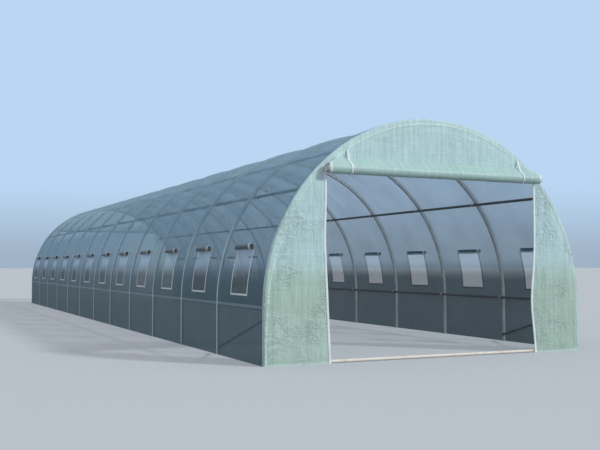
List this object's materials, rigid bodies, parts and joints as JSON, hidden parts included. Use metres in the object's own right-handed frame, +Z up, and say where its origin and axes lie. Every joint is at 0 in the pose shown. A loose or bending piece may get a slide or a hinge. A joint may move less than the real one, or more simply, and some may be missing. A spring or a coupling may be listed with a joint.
{
  "type": "polytunnel greenhouse",
  "caption": "Hollow polytunnel greenhouse: round steel hoops and rails under a woven film cover, with net windows in both side walls and an open doorway with a rolled-up door in each end.",
  "frame": {"origin": "on the ground, in the middle of the tunnel, half way along it", "axes": "+X across the tunnel, +Y along it from the front end to the rear end, +Z up"},
  "size_m": [3.0046, 12.224, 1.9323],
  "materials": {
    "galvanised_tube": "galvanised, dull",
    "clamp_steel": "zinc plated, dull",
    "cover_film": "woven polyethylene film, see-through, pale green",
    "end_film": "woven polyethylene film, pale green",
    "door_film": "rolled woven film, pale green",
    "window_net": "fine insect net",
    "flap_film": "rolled film in several layers, dark green",
    "white_binding": "white sewn binding tape",
    "white_strap": "white webbing"
  },
  "bodies": {
    "root": {"front_braces": "galvanised_tube", "front_door_bindings": "white_binding", "front_door_roll": "door_film", "front_door_ties": "white_strap", "front_left_panel": "end_film", "front_right_panel": "end_film", "front_sill_bar": "galvanised_tube", "front_top_panel": "end_film", "hoop_01": "galvanised_tube", "hoop_02": "galvanised_tube", "hoop_03": "galvanised_tube", "hoop_04": "galvanised_tube", "hoop_05": "galvanised_tube", "hoop_06": "galvanised_tube", "hoop_07": "galvanised_tube", "hoop_08": "galvanised_tube", "hoop_09": "galvanised_tube", "hoop_10": "galvanised_tube", "hoop_11": "galvanised_tube", "hoop_12": "galvanised_tube", "hoop_13": "galvanised_tube", "left_flap_ties": "white_strap", "left_roof_cover": "cover_film", "left_shoulder_cover": "cover_film", "left_shoulder_rail": "galvanised_tube", "left_waist_rail": "galvanised_tube", "left_wall_cover": "cover_film", "left_window_borders": "white_binding", "left_window_flaps": "flap_film", "left_window_nets": "window_net", "rear_braces": "galvanised_tube", "rear_door_bindings": "white_binding", "rear_door_roll": "door_film", "rear_door_ties": "white_strap", "rear_left_panel": "end_film", "rear_right_panel": "end_film", "rear_sill_bar": "galvanised_tube", "rear_top_panel": "end_film", "ridge_clamps": "clamp_steel", "ridge_rail": "galvanised_tube", "right_flap_ties": "white_strap", "right_roof_cover": "cover_film", "right_shoulder_cover": "cover_film", "right_shoulder_rail": "galvanised_tube", "right_waist_rail": "galvanised_tube", "right_wall_cover": "cover_film", "right_window_borders": "white_binding", "right_window_flaps": "flap_film", "right_window_nets": "window_net", "shoulder_clamps": "clamp_steel", "waist_clamps": "clamp_steel"}
  },
  "joints": []
}
